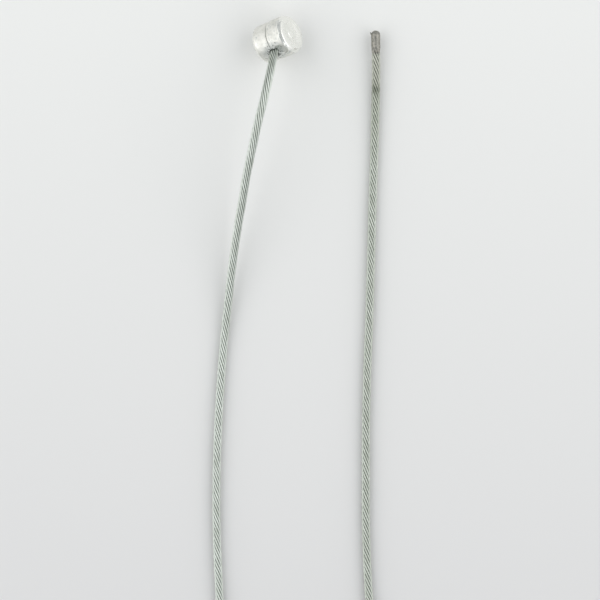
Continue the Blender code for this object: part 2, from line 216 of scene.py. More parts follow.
class TipSettings(bpy.types.PropertyGroup):
    """Sizes and colours of the fused tip."""

    girth: length("Diameter", "Diameter of the fused tip", 1.62 * MM)
    scale_black: colour("Scale", "Fused steel under its scale", "8C8B85")
    scale_brown: colour("Brown", "Thinner, browner scale", "B0ADA4")


class TieSettings(bpy.types.PropertyGroup):
    """Sizes and colours of the ties."""

    width: length("Width", "Width of the tie's band", 3.0 * MM)
    plastic: colour("Plastic", "Band of the tie", "C9CCCA")


class StageSettings(bpy.types.PropertyGroup):
    """The table and the light."""

    paper: colour("Paper", "Table top near the nipple", "F0F0EE")
    # The far paper's darker colour is painted falloff of the light.
    paper_painted_dim: colour("Far paper", "Table top towards the coil", "E0DFDF")
    left_power: power("Left lamp", "Power of the left lamp", 1.3)
    right_power: power("Right lamp", "Power of the right lamp", 1.3)


class CableSettings(bpy.types.PropertyGroup):
    """All settings of the cable."""

    strand: PointerProperty(type=StrandSettings)
    nipple: PointerProperty(type=NippleSettings)
    tip: PointerProperty(type=TipSettings)
    tie: PointerProperty(type=TieSettings)
    stage: PointerProperty(type=StageSettings)


def add_node(tree, kind, inputs=(), out=0, **settings):
    """Adds a node with its settings, and returns one of its outputs.

    The inputs are values or links, in a row from the first input on or by name.
    """
    node = tree.nodes.new(kind)
    for key, value in settings.items():
        setattr(node, key, value)
    for key, value in inputs.items() if isinstance(inputs, dict) else enumerate(inputs):
        if isinstance(value, bpy.types.NodeSocket):
            tree.links.new(value, node.inputs[key])
        else:
            node.inputs[key].default_value = value
    return node.outputs[out] if node.outputs else None


def new_material(name):
    made = bpy.data.materials.new(name)
    made.use_nodes = True
    made.node_tree.nodes.clear()
    return made, made.node_tree


def finish_material(tree, inputs, relief, strength, worn=None):
    """Adds the shader, with a fine bump of that strength, and the output.

    Worn is a pattern and the two values between which the roughness follows it.
    """
    if worn:
        pattern, low, high = worn
        inputs["Roughness"] = add_node(tree, "ShaderNodeMapRange", (pattern, 0.3, 0.7, low, high), **SMOOTH)
    bump = add_node(tree, "ShaderNodeBump", {"Height": relief, "Strength": strength, "Distance": BUMP_DEPTH})
    shader = add_node(tree, "ShaderNodeBsdfPrincipled", {"Normal": bump, **inputs})
    add_node(tree, "ShaderNodeOutputMaterial", {"Surface": shader})


def tinted(tree, shade, layers):
    """Lays tints over a shade, each by a pattern, the values where it starts and is full, and a strength."""
    for pattern, start, full, strength, tint in layers:
        share = add_node(tree, "ShaderNodeMapRange", (pattern, start, full, 0.0, strength), **SMOOTH)
        colours = {FACTOR: share, UNDER: shade, OVER: tint}
        shade = add_node(tree, "ShaderNodeMix", colours, MIXED, data_type="RGBA")
    return shade


def set_stops(ramp, stops):
    """Gives a colour ramp its (position, hex code) stops."""
    elements = ramp.color_ramp.elements
    while len(elements) < len(stops):
        elements.new(0.5)
    for element, (position, code) in zip(elements, stops):
        element.position = position
        element.color = linear(code)


def galvanised_wire(settings):
    """Drawn, galvanised steel wire: a soft shine on rubbed crests, duller zinc, and soap with painted shade
    in the grooves.
    """
    made, tree = new_material("galvanised_drawn_wire")
    section = add_node(tree, "ShaderNodeAttribute", out="Vector", attribute_name="section")
    along = add_node(tree, "ShaderNodeAttribute", out="Fac", attribute_name="along")
    radius = add_node(tree, "ShaderNodeVectorMath", (section,), "Value", operation="LENGTH")

    # Drawing streaks 0.2 mm wide and weathered spots 0.5 mm wide turn with the wires, and are 8 times longer.
    drawn_out = add_node(tree, "ShaderNodeMath", (along, 1 / 8), operation="MULTIPLY")
    axes = add_node(tree, "ShaderNodeCombineXYZ", {"Z": drawn_out})
    place = add_node(tree, "ShaderNodeVectorMath", (section, axes), operation="ADD")
    streaks, spots = (
        add_node(tree, "ShaderNodeTexNoise", (place, 0.0, *values))
        for values in ((5.2 / MM, 3.0, 0.6), (1.9 / MM, 2.0, 0.5))
    )
    layers = (
        (streaks, 0.38, 0.62, 1.0, settings.bright),
        (spots, 0.52, 0.72, 0.45, linear("AEB3A9")),
        # Darker towards the hollows between the wires: soap and dust, and painted shade.
        (radius, 0.70 * MM, 0.55 * MM, 1.0, settings.groove_soap_and_shade),
    )
    shade = tinted(tree, settings.dull, layers)

    # Heat from the fusing, by the millimetres from the nose: straw and brown next to the tip, a dark band,
    # then zinc that clears slowly. The whole free end has stayed a little duller than the rest.
    from_nose = add_node(tree, "ShaderNodeMath", (CABLE_LENGTH, along), operation="SUBTRACT")
    share = add_node(tree, "ShaderNodeMapRange", (from_nose, 0.0, DULL_END))
    heat = add_node(tree, "ShaderNodeValToRGB", {"Fac": share})
    stops = (
        (3.42, "C8C5BF"), (4.62, "E2DFD9"), (9.24, "E2DFD9"), (10.02, "D2D0C9"), (10.32, "B6B7AE"),
        (10.92, "B9BAB1"), (11.52, "DADAD3"), (16.2, "E3E3DD"), (24.0, "F0F0ED"), (111.6, "F0F0ED"),
        (120.0, "FFFFFF"),
    )
    set_stops(heat.node, [(distance * MM / DULL_END, code) for distance, code in stops])
    colours = {FACTOR: 1.0, UNDER: shade, OVER: heat}
    shade = add_node(tree, "ShaderNodeMix", colours, MIXED, data_type="RGBA", blend_type="MULTIPLY")
    finish_material(tree, {"Base Color": shade, "Metallic": 1.0}, streaks, 0.25, (streaks, 0.30, 0.46))
    return made


def cast_zinc(settings):
    """Zinc alloy as the die leaves it: bright, uneven, with duller oxide, lubricant in its hollows, and
    painted shade at its parting and round its mouth.
    """
    made, tree = new_material("die_cast_zinc")
    skin, rub, soil = (
        add_node(tree, "ShaderNodeAttribute", out="Fac", attribute_name=name)
        for name in ("skin", "rub", "soil")
    )
    # Oxide patches about 1.1 mm wide, casting grain of 0.2 mm and specks of dirt of 0.4 mm.
    place = add_node(tree, "ShaderNodeTexCoord", out="Object")
    patches, grain, specks = (
        add_node(tree, "ShaderNodeTexNoise", (place, 0.0, *values))
        for values in ((0.9 / MM, 4.0, 0.62), (5.2 / MM, 3.0, 0.6), (2.6 / MM, 2.0, 0.5))
    )
    # Where tumbling has rubbed it, the grain shows less, in the colour and in the bump, and it shines more.
    grained, raised = (
        add_node(tree, "ShaderNodeMapRange", (rub, 0.2, 0.45, *ends), **SMOOTH)
        for ends in ((0.2, 0.03), (0.35, 0.06))
    )
    low, high = (
        add_node(tree, "ShaderNodeMath", (rub, -0.24, as_cast), operation="MULTIPLY_ADD")
        for as_cast in (0.32, 0.48)
    )
    # Round the mouth the zinc is tinted bluish grey as painted shade of its shaded underside, and has picked
    # up specks of dirt.
    specked = add_node(tree, "ShaderNodeMath", (soil, 0.5, specks), operation="MULTIPLY_ADD")
    layers = (
        (patches, 0.42, 0.66, 0.85, settings.oxide),
        (rub, 0.2, 0.5, 0.8, settings.rubbed),
        (skin, 0.6, 1.1, 0.5, settings.stain_and_shade),
        # The channel at the parting, painted dark as shade.
        (skin, 1.2, 1.8, 1.0, linear("4E514D")),
        (grain, 0.35, 0.65, grained, linear("C4C5BE")),
        # Painted shade round the mouth, in the lubricant's bluish grey.
        (soil, 0.1, 0.75, 0.38, settings.stain_and_shade),
        (specked, 0.80, 0.90, 0.7, linear("5F625E")),
    )
    shade = tinted(tree, settings.zinc, layers)
    # The oxide on a casting scatters part of the light like a powder, so it isn't all metal.
    finish_material(tree, {"Base Color": shade, "Metallic": 0.8}, grain, raised, (patches, low, high))
    return made


def fused_steel(settings):
    """Steel wires melted together: a smooth lump under dark scale, browner where the scale is thin."""
    made, tree = new_material("fused_scaled_steel")
    # Patches of scale about 0.5 mm wide, and its grain of 0.1 mm.
    place = add_node(tree, "ShaderNodeTexCoord", out="Object")
    patches, grain = (
        add_node(tree, "ShaderNodeTexNoise", (place, 0.0, *values))
        for values in ((2.2 / MM, 4.0, 0.6), (9.0 / MM, 2.0, 0.6))
    )
    shade = tinted(tree, settings.scale_black, [(patches, 0.4, 0.65, 1.0, settings.scale_brown)])
    finish_material(tree, {"Base Color": shade, "Metallic": 1.0}, grain, 0.4, (patches, 0.36, 0.58))
    return made


def bare_wire_ends():
    """The spread wire ends in the casting: drawn steel, dulled by the zinc's heat in marks 0.3 mm wide."""
    made, tree = new_material("heat_dulled_steel_wire")
    place = add_node(tree, "ShaderNodeTexCoord", out="Object")
    marks = add_node(tree, "ShaderNodeTexNoise", (place, 0.0, 3.5 / MM, 3.0, 0.6))
    shade = tinted(tree, linear("77776F"), [(marks, 0.35, 0.65, 1.0, linear("A0A19A"))])
    finish_material(tree, {"Base Color": shade, "Metallic": 1.0}, marks, 0.3, (marks, 0.35, 0.55))
    return made


def tie_plastic(settings):
    """Soft PVC moulded over a thin wire: pale, matt and a little cloudy, with a faint pressed grain."""
    made, tree = new_material("soft_pvc_tie")
    # A pressed grain of 0.24 mm, and clouds about 2.4 mm wide.
    place = add_node(tree, "ShaderNodeTexCoord", out="Object")
    grain, clouds = (
        add_node(tree, "ShaderNodeTexNoise", (place, 0.0, *values))
        for values in ((4.2 / MM, 3.0, 0.6), (0.42 / MM, 2.0, 0.5))
    )
    shade = tinted(tree, settings.plastic, [(clouds, 0.35, 0.65, 0.6, linear("B8BCBA"))])
    finish_material(tree, {"Base Color": shade, "IOR": 1.53}, grain, 0.3, (grain, 0.42, 0.58))
    return made


def table_paper(settings):
    """Plain matt paper with fibres about 1 mm long, painted a little darker towards the coil as falloff of
    the light.
    """
    made, tree = new_material("matt_studio_paper")
    place = add_node(tree, "ShaderNodeTexCoord", out="Object")
    height = add_node(tree, "ShaderNodeSeparateXYZ", (place,), "Y")
    # Painted falloff of the light: the paper darkens towards the coil.
    share = add_node(tree, "ShaderNodeMapRange", (height, -110 * MM, 5 * MM))
    colours = {FACTOR: share, UNDER: settings.paper_painted_dim, OVER: settings.paper}
    shade = add_node(tree, "ShaderNodeMix", colours, MIXED, data_type="RGBA")
    fibre = add_node(tree, "ShaderNodeTexNoise", (place, 0.0, 0.9 / MM, 3.0))
    finish_material(tree, {"Base Color": shade, "Roughness": 0.9, "Specular IOR Level": 0.2}, fibre, 0.04)
    return made


def placed(name, data):
    """A new object in the scene that holds the data."""
    made = bpy.data.objects.new(name, data)
    bpy.context.scene.collection.objects.link(made)
    return made


def plain_mesh(obj):
    """The mesh that an object's modifiers give, which are then removed."""
    bpy.context.view_layer.update()
    evaluated = obj.evaluated_get(bpy.context.evaluated_depsgraph_get())
    made = bpy.data.meshes.new_from_object(evaluated)
    obj.modifiers.clear()
    return made


def mark(mesh, **values):
    """Gives each point of a mesh a number under a name."""
    for name, numbers in values.items():
        mesh.attributes.new(name, "FLOAT", "POINT").data.foreach_set("value", numbers)


def between(first, second, start, end, at):
    return first.lerp(second, (at - start) / (end - start))


def catmull_rom(points, knots, at):
    """The point at a knot value on the Catmull-Rom curve from the second of four points to the third."""
    sides = [between(points[i], points[i + 1], knots[i], knots[i + 1], at) for i in range(3)]
    halves = [between(sides[i], sides[i + 1], knots[i], knots[i + 2], at) for i in range(2)]
    return between(halves[0], halves[1], knots[1], knots[2], at)


def smooth_line(points):
    """A fine Catmull-Rom line through the points that never sinks into the table."""
    ends = [2 * points[0] - points[1], *points, 2 * points[-1] - points[-2]]
    fine = [points[0].copy()]
    for four in zip(ends, ends[1:], ends[2:], ends[3:]):
        knots = [0.0]
        for first, second in zip(four, four[1:]):
            knots.append(knots[-1] + math.sqrt((second - first).length))
        for step in range(1, 21):
            fine.append(catmull_rom(four, knots, knots[1] + (knots[2] - knots[1]) * step / 20))
    for point in fine:
        point.z = max(point.z, STRAND_RADIUS)
    return fine


def measured(points):
    """How far along the line each point lies."""
    reached = [0.0]
    for first, second in zip(points, points[1:]):
        reached.append(reached[-1] + (second - first).length)
    return reached


def read_line(points, reached, wanted):
    """The points of a line at the wanted distances, which rise."""
    read = []
    index = 0
    for distance in wanted:
        while index < len(reached) - 2 and reached[index + 1] < distance:
            index += 1
        share = (distance - reached[index]) / (reached[index + 1] - reached[index])
        read.append(points[index].lerp(points[index + 1], share))
    return read


def nipple_place():
    """The nipple's own axes in the world: +Z along the barrel to its near face, +X out of the mouth."""
    flat = math.cos(BARREL_TILT)
    along = Vector((flat * math.cos(BARREL_TURN), flat * math.sin(BARREL_TURN), math.sin(BARREL_TILT)))
    level = along.cross(Vector((0, 0, 1))).normalized()
    exit_way = math.cos(EXIT_ROLL) * level + math.sin(EXIT_ROLL) * level.cross(along)
    axes = Matrix((exit_way, along.cross(exit_way), along)).transposed().to_4x4()
    return Matrix.Translation(NIPPLE_MIDDLE) @ axes


def on_table(route):
    return [Vector((x * MM, y * MM, lift * MM + STRAND_RADIUS)) for x, y, lift in route]


def on_coil(radius, angle):
    """The x and y of a place on the coil."""
    return COIL_CENTRE[0] + radius * math.cos(angle), COIL_CENTRE[1] + radius * math.sin(angle)


def coil_end(side, row, clear=0.0):
    """A point of the straight that runs level into the coil, at a distance from where it becomes a turn."""
    height = COIL_LIFT + (row + 0.5) * STRAND_DIAMETER
    return Vector((COIL_CENTRE[0] + side * OUTER_TURN, COIL_CENTRE[1] + clear, height))


def coil_line():
    """The centre of every turn: flat spirals in and out, one on the other, joined by climbing half turns."""
    climb = 0.5
    last = COIL_COLUMNS - 1
    free_turns = COIL_TURNS - (COIL_ROWS - 1) * climb
    # The climbing half turns bulge by this many columns, so that the line has no corner.
    bulge = climb / math.pi
    for _ in range(20):
        pitch = (2 * (last - bulge) + (COIL_ROWS - 2) * (last - 2 * bulge)) / free_turns
        bulge = climb * pitch / math.pi
    points = []
    steps = round(COIL_TURNS * 120)
    for step in range(steps + 1):
        turns = COIL_TURNS * step / steps
        column, row = coil_column(turns, pitch, bulge, climb, last)
        angle = math.pi + math.tau * turns
        radius = OUTER_TURN - column * STRAND_DIAMETER
        height = COIL_LIFT + (row + 0.5) * STRAND_DIAMETER
        points.append(Vector((*on_coil(radius, angle), height)))
    return points


def coil_column(turns, pitch, bulge, climb, last):
    """The column, from the outside in, and the row, from the table up, of the strand after some turns."""
    column = 0.0
    inward = 1
    for row in range(COIL_ROWS):
        edge = last - bulge if inward > 0 else bulge
        run = abs(edge - column) / pitch
        if turns <= run or row == COIL_ROWS - 1:
            return column + inward * pitch * turns, row
        turns -= run
        if turns <= climb:
            share = math.pi * turns / climb
            return edge + inward * bulge * math.sin(share), row + 0.5 - 0.5 * math.cos(share)
        turns -= climb
        column = edge
        inward = -inward
    return column, COIL_ROWS - 1


def cable_line():
    """The cable's centre from inside the nipple to the tip's nose, and where its coil starts and ends."""
    clear = math.sqrt((COIL_OUTER + FIT_GAP) ** 2 - (OUTER_TURN - STRAND_RADIUS) ** 2)
    place = nipple_place()
    start = place @ Vector((STRAND_START, 0, 0))
    straight = place @ Vector((BARREL_RADIUS + STRAIGHT_EXIT, 0, 0))
    head = smooth_line([start, straight, *on_table(HEAD_ROUTE), coil_end(-1, 0, clear), coil_end(-1, 0)])
    tail = smooth_line([*on_table(TAIL_ROUTE), coil_end(1, COIL_ROWS - 1, clear), coil_end(1, COIL_ROWS - 1)])
    tail.reverse()
    coil = coil_line()
    points = head + coil[1:-1] + tail
    reached = measured(points)
    return points, reached, reached[len(head) - 1], reached[len(head) + len(coil) - 2]


def steps_between(low, high, step):
    count = max(1, round((high - low) / step))
    return [low + (high - low) * i / count for i in range(count + 1)]


def line_mesh(points, along, melt, girth):
    """A line whose points carry how far along the cable they lie, how far it has melted, and its radius."""
    mesh = bpy.data.meshes.new("line")
    mesh.from_pydata(points, [(i, i + 1) for i in range(len(points) - 1)], [])
    mark(mesh, along=along, melt=melt, girth=girth)
    centre = mesh.attributes.new("centre", "FLOAT_VECTOR", "POINT")
    centre.data.foreach_set("vector", [value for point in points for value in point])
    return mesh


def strand_tree():
    """Geometry nodes that skin a line with a layer of twisted wires, which melt together where asked."""
    tree = bpy.data.node_groups.new("twisted_wires", "GeometryNodeTree")
    inputs = {
        "Geometry": ("Geometry",),
        "Int": ("Wires", "Points a wire"),
        "Float": ("Wire diameter", "Strand diameter", "Lay length", "Melt roughness"),
        "Material": ("Material",),
    }
    for kind, names in inputs.items():
        for name in names:
            tree.interface.new_socket(name, in_out="INPUT", socket_type="NodeSocket" + kind)
    tree.interface.new_socket("Geometry", in_out="OUTPUT", socket_type="NodeSocketGeometry")
    known = {socket.name: socket for socket in add_node(tree, "NodeGroupInput").node.outputs if socket.name}

    # What is known of a point: its place, how it lies to the line's centre, and the melt's own unevenness.
    named = "GeometryNodeInputNamedAttribute"
    for name, kind in (("along", "FLOAT"), ("melt", "FLOAT"), ("girth", "FLOAT"), ("centre", "FLOAT_VECTOR")):
        known[name] = add_node(tree, named, {"Name": name}, "Attribute", data_type=kind)
    known["index"] = add_node(tree, "GeometryNodeInputIndex")
    place = add_node(tree, "GeometryNodeInputPosition")
    offset = add_node(tree, "ShaderNodeVectorMath", (place, known["centre"]), operation="SUBTRACT")
    outward = add_node(tree, "ShaderNodeVectorMath", (offset,), operation="NORMALIZE")
    known["own reach"] = add_node(tree, "ShaderNodeVectorMath", (offset,), "Value", operation="LENGTH")
    known["noise"] = add_node(tree, "ShaderNodeTexNoise", (place, 0.0, 1.7 / MM, 2.0, 0.5))

    # Each row is a Math node: what it works out, its operation and what goes in. Down to the radius it is the
    # wires' profile, then the twist, and then how far melted wires run together at the girth.
    sums = (
        ("points", "MULTIPLY", "Wires", "Points a wire"),
        ("wire", "MULTIPLY", "Wire diameter", 0.5),
        ("strand", "MULTIPLY", "Strand diameter", 0.5),
        ("ring", "SUBTRACT", "strand", "wire"),
        ("wires passed", "DIVIDE", "index", "Points a wire"),
        ("share", "FRACT", "wires passed"),
        ("from crest", "SUBTRACT", "share", 0.5),
        ("wire angle", "DIVIDE", math.tau, "Wires"),
        ("angle", "MULTIPLY", "from crest", "wire angle"),
        ("sine", "SINE", "angle"),
        ("across", "MULTIPLY", "ring", "sine"),
        ("wire squared", "POWER", "wire", 2.0),
        ("across squared", "POWER", "across", 2.0),
        ("rise squared", "SUBTRACT", "wire squared", "across squared"),
        ("rise kept", "MAXIMUM", "rise squared", 0.0),
        ("rise", "SQRT", "rise kept"),
        ("cosine", "COSINE", "angle"),
        ("wire centre", "MULTIPLY", "ring", "cosine"),
        ("radius", "ADD", "wire centre", "rise"),
        ("lays", "DIVIDE", "along", "Lay length"),
        ("tilt", "MULTIPLY", "lays", -math.tau),
        ("level noise", "SUBTRACT", "noise", 0.5),
        ("lump", "MULTIPLY", "level noise", "Melt roughness"),
        ("swell", "ADD", 1.0, "lump"),
        ("melted reach", "MULTIPLY", "girth", "swell"),
        ("change", "SUBTRACT", "melted reach", "own reach"),
        ("melted change", "MULTIPLY", "melt", "change"),
        ("reach", "ADD", "own reach", "melted change"),
    )
    for name, operation, *terms in sums:
        terms = [known[term] if isinstance(term, str) else term for term in terms]
        known[name] = add_node(tree, "ShaderNodeMath", terms, operation=operation)

    # The profile is a circle pushed in between the wires. Its points remember their place in the section.
    circle = {"Resolution": known["points"], "Radius": 1.0}
    profile = add_node(tree, "GeometryNodeCurvePrimitiveCircle", circle)
    pushed = add_node(tree, "ShaderNodeVectorMath", {0: place, "Scale": known["radius"]}, operation="SCALE")
    profile = add_node(tree, "GeometryNodeSetPosition", {"Geometry": profile, "Position": pushed})
    profile = add_node(
        tree,
        "GeometryNodeStoreNamedAttribute",
        {"Geometry": profile, "Name": "section", "Value": place},
        data_type="FLOAT_VECTOR",
        domain="POINT",
    )

    # The line, level all along and twisted one turn in each lay length, carries it. Then it melts.
    line = add_node(tree, "GeometryNodeMeshToCurve", {"Mesh": known["Geometry"]})
    line = add_node(tree, "GeometryNodeSetCurveNormal", {"Curve": line}, mode="Z_UP")
    line = add_node(tree, "GeometryNodeSetCurveTilt", {"Curve": line, "Tilt": known["tilt"]})
    swept = {"Curve": line, "Profile Curve": profile, "Fill Caps": True}
    skin = add_node(tree, "GeometryNodeCurveToMesh", swept)

    scaled = add_node(tree, "ShaderNodeVectorMath", {0: outward, "Scale": known["reach"]}, operation="SCALE")
    moved = add_node(tree, "ShaderNodeVectorMath", (known["centre"], scaled), operation="ADD")
    skin = add_node(tree, "GeometryNodeSetPosition", {"Geometry": skin, "Position": moved})
    skin = add_node(tree, "GeometryNodeTriangulate", {"Mesh": skin}, quad_method="SHORTEST_DIAGONAL")
    skin = add_node(tree, "GeometryNodeSetShadeSmooth", {"Geometry": skin})
    skin = add_node(tree, "GeometryNodeRealizeInstances", {"Geometry": skin})
    skin = add_node(tree, "GeometryNodeSetMaterial", {"Geometry": skin, "Material": known["Material"]})
    add_node(tree, "NodeGroupOutput", {"Geometry": skin})
    return tree


def grown_wires(name, line, settings, finish):
    """A stretch of the strand as a plain mesh object, grown along its line."""
    inputs = {
        "Wires": settings.wires,
        "Points a wire": 4,
        "Wire diameter": settings.wire_diameter,
        "Strand diameter": STRAND_DIAMETER,
        "Lay length": settings.lay_length,
        "Melt roughness": 0.16,
        "Material": finish,
    }
    wires = placed(name, line)
    modifier = wires.modifiers.new("skin", "NODES")
    modifier.node_group = strand_tree()
    for item in modifier.node_group.interface.items_tree:
        if item.in_out == "INPUT" and item.name in inputs:
            modifier[item.identifier] = inputs[item.name]
    skin = plain_mesh(wires)
    wires.data = skin
    skin.name = name
    bpy.data.meshes.remove(line)
    if not skin.polygons:
        raise RuntimeError(f"{name} came out with no faces")
    for used_up in ("melt", "girth", "centre"):
        skin.attributes.remove(skin.attributes[used_up])
    return wires


def strand_rings():
    """The centres of the strand's rings, from inside the nipple to inside the tip, and their distances."""
    points, reached, coil_start, coil_stop = cable_line()
    last = reached[-1] - TIP_LENGTH + TIP_OVERLAP
    wanted = steps_between(0.0, coil_start, OPEN_RING_STEP)[:-1]
    wanted += steps_between(coil_start, coil_stop, COIL_RING_STEP)[:-1]
    wanted += steps_between(coil_stop, last, OPEN_RING_STEP)
    offset = CABLE_LENGTH - reached[-1]
    return read_line(points, reached, wanted), [distance + offset for distance in wanted]


def make_strand(settings):
    """The strand's one skin."""
    centres, along = strand_rings()
    plain = [0.0] * len(centres)
    line = line_mesh(centres, along, plain, plain)
    strand = grown_wires("strand", line, settings, galvanised_wire(settings))
    strand.data.set_sharp_from_angle(angle=WIRE_CREASE)
    return strand


def make_tip(settings, strand_settings):
    """The fused tip: the strand's own wires, running together into a smooth round nose."""
    points, reached, _, _ = cable_line()
    nose = reached[-1]
    radius = settings.girth / 2
    back = TIP_LENGTH + 0.1 * MM
    from_nose = [back - (back - radius) * (i / 26) for i in range(27)]
    # The nose is a half ball, with its rings closer together towards the end.
    from_nose += [radius - radius * math.sin(math.pi / 2 * i / 9) for i in range(1, 9)] + [0.01 * MM]
    melt = []
    girth = []
    for distance in from_nose:
        fused = min(1.0, max(0.0, (back - distance) / MELT_LENGTH))
        melt.append(fused * fused * (3 - 2 * fused))
        inner = max(0.0, radius - distance)
        girth.append(max(0.02 * MM, math.sqrt(max(0.0, radius * radius - inner * inner))))
    wanted = [nose - distance for distance in from_nose]
    centres = read_line(points, reached, wanted)
    offset = CABLE_LENGTH - nose
    line = line_mesh(centres, [distance + offset for distance in wanted], melt, girth)
    tip = grown_wires("fused_end", line, strand_settings, fused_steel(settings))
    add_burr(tip, centres, radius)
    tip.data.shade_smooth()
    tip.data.set_sharp_from_angle(angle=WIRE_CREASE)
    return tip


def add_burr(tip, centres, radius):
    """One outer wire's end, left standing proud beside the nose."""
    way = (centres[-1] - centres[-4]).normalized()
    side = Vector((-1, 0, 0.25))
    side = (side - way * side.dot(way)).normalized()
    upper = side.cross(way)
    root = centres[-1] - way * BURR_ROOT
    # How far out, in radii of the tip, how far forward and how thick it is, in millimetres.
    line = ((0.55, -0.5, 0.14), (0.84, -0.15, 0.15), (1.08, 0.2, 0.13), (1.17, 0.45, 0.08))
    turns = [math.tau * i / 10 for i in range(10)]
    rings = []
    for out, forward, thick in line:
        middle = root + side * out * radius + way * forward * MM
        rings.append([middle + (upper * math.cos(a) + side * math.sin(a)) * thick * MM for a in turns])
    shape = bmesh.new()
    shape.from_mesh(tip.data)
    skin_rings(shape, rings, False)
    bmesh.ops.recalc_face_normals(shape, faces=shape.faces)
    shape.to_mesh(tip.data)
    shape.free()


def arc(centre, radius, start, end, steps):
    """Points (radius, height) along an arc from one angle in degrees to another, with both ends."""
    points = []
    for step in range(steps + 1):
        angle = math.radians(start + (end - start) * step / steps)
        points.append((centre[0] + radius * math.cos(angle), centre[1] + radius * math.sin(angle)))
    return points


def rolled_edge(start, arcs):
    """Points of arcs, each a (radius, first angle, last angle, steps), that run on smoothly from a point."""
    points = [start]
    for radius, first, last, steps in arcs:
        angle = math.radians(first)
        centre = (points[-1][0] - radius * math.cos(angle), points[-1][1] - radius * math.sin(angle))
        points += arc(centre, radius, first, last, steps)[1:]
    return points


def dense(profile, step):
    """The profile with points no further apart than the step."""
    read = [profile[0]]
    for first, second in zip(profile, profile[1:]):
        count = max(1, math.ceil(math.dist(first, second) / step))
        for i in range(1, count + 1):
            read.append(tuple(a + (b - a) * i / count for a, b in zip(first, second)))
    return read


def turned(name, profile, sides):
    """A closed solid of revolution about Z of a profile that starts and ends on the axis, lower end first."""
    verts = [(0, 0, profile[0][1])]
    for radius, height in profile[1:-1]:
        for side in range(sides):
            angle = math.tau * side / sides
            verts.append((radius * math.cos(angle), radius * math.sin(angle), height))
    verts.append((0, 0, profile[-1][1]))
    faces = []
    rings = len(profile) - 2
    for side in range(sides):
        after = (side + 1) % sides
        faces.append((0, 1 + after, 1 + side))
        top = 1 + (rings - 1) * sides
        faces.append((top + side, top + after, len(verts) - 1))
        for ring in range(rings - 1):
            low = 1 + ring * sides
            faces.append((low + side, low + after, low + sides + after, low + sides + side))
    mesh = bpy.data.meshes.new(name)
    mesh.from_pydata(verts, [], faces)
    mesh.validate()
    mesh.update()
    return mesh


def nipple_outline():
    """The barrel's outline from its far end to its near one, with dished faces and the dies' parting."""
    half = HALF_LENGTH
    far = BARREL_RADIUS - DIE_STEP
    near = BARREL_RADIUS
    dish = DISH_RADIUS
    floor = half - DISH_DEPTH
    pip = EJECTOR_RADIUS
    far_face = [(0, -floor), (dish - 0.6 * MM, -floor)]
    far_face += [(dish - 0.3 * MM, -floor - 0.05 * MM), (dish, -half + 0.02 * MM)]
    far_rim = arc((far - 0.7 * MM, 0.7 * MM - half), 0.7 * MM, -90, 0, 12)
    parting = [
        (far, -0.14 * MM), (far + 0.015 * MM, -0.09 * MM), (far - 0.07 * MM, -0.035 * MM),
        (far - 0.07 * MM, 0.035 * MM), (near - 0.01 * MM, 0.09 * MM), (near, 0.14 * MM),
    ]
    # The rim is round with a flatter, rubbed middle, and the ring round the dish is slightly domed.
    near_rim = rolled_edge(
        (near, half - 0.74 * MM),
        ((0.25 * MM, 0, 28, 4), (2.9 * MM, 28, 38, 6), (0.25 * MM, 38, 64, 5), (0.9 * MM, 64, 80, 5)),
    )
    near_face = [
        (dish, half), (dish - 0.15 * MM, half - 0.015 * MM),
        (dish - 0.75 * MM, floor + 0.01 * MM), (dish - 0.9 * MM, floor),
        (pip + 0.06 * MM, floor), (pip - 0.02 * MM, floor + 0.035 * MM),
        (pip - 0.1 * MM, floor + 0.08 * MM), (0, floor + 0.08 * MM),
    ]
    return far_face + far_rim + parting + near_rim + near_face


def bore_outline():
    """What is left open for the strand: the cavity of its spread root and a mouth close round the wires."""
    tight = STRAND_RADIUS + 0.05 * MM
    return [
        (0, -CAVITY_DEPTH - FIT_GAP),
        (1.7 * MM, -CAVITY_DEPTH - FIT_GAP),
        (1.7 * MM, -CAVITY_DEPTH + 0.325 * MM + FIT_GAP),
        (1.05 * MM, -CAVITY_DEPTH + 1.3 * MM + FIT_GAP),
        (1.05 * MM, 2.7 * MM),
        (tight, 2.85 * MM), (tight, 3.2 * MM),
        (tight + 0.04 * MM, 3.34 * MM), (tight + 0.12 * MM, 3.44 * MM),
        (tight + 0.24 * MM, 3.5 * MM), (tight + 0.24 * MM, CUT_TOP), (0, CUT_TOP),
    ]


def recess_outline():
    """The shallow round pocket that the near die half leaves beside the strand."""
    floor = BARREL_RADIUS - 0.55 * MM
    return [
        (0, floor), (0.94 * MM, floor), (1.02 * MM, floor + 0.03 * MM), (1.09 * MM, floor + 0.1 * MM),
        (1.22 * MM, floor + 0.45 * MM), (1.25 * MM, floor + 0.6 * MM), (1.25 * MM, CUT_TOP), (0, CUT_TOP),
    ]


def casting_skin(point, near_skin, far_skin):
    """How far the casting's skin lies under its outline: blotchy on the near half, drawn on the far half."""
    place = point / MM
    around = math.atan2(place.y, place.x)
    face = HALF_LENGTH / MM - 0.3
    parting = 0.12
    reach = math.hypot(place.x, place.y)
    if place.z > face:
        waves = noise.fractal(place * 1.1 + Vector((3, 7, 1)), 1.0, 2.0, 2)
        return near_skin * (0.35 + 0.45 * waves)
    if place.z > parting:
        blotch = noise.fractal(place * 2.3, 0.9, 2.1, 3)
        streak = noise.noise(Vector((math.cos(around) * 6, math.sin(around) * 6, place.z * 4.5)))
        return near_skin * (0.6 + 0.5 * blotch + 0.4 * streak)
    if place.z < -parting and reach > 2.4:
        lines = Vector((math.cos(around) * 5, math.sin(around) * 5, place.z * 1.2))
        return far_skin * (0.5 + 0.8 * noise.fractal(lines, 0.9, 2.1, 3))
    if place.z <= -face:
        return far_skin * (0.5 + 0.5 * noise.fractal(place * 1.3, 1.0, 2.0, 2))
    return near_skin * 0.4 * (0.5 + 0.5 * noise.noise(place * 4.0))


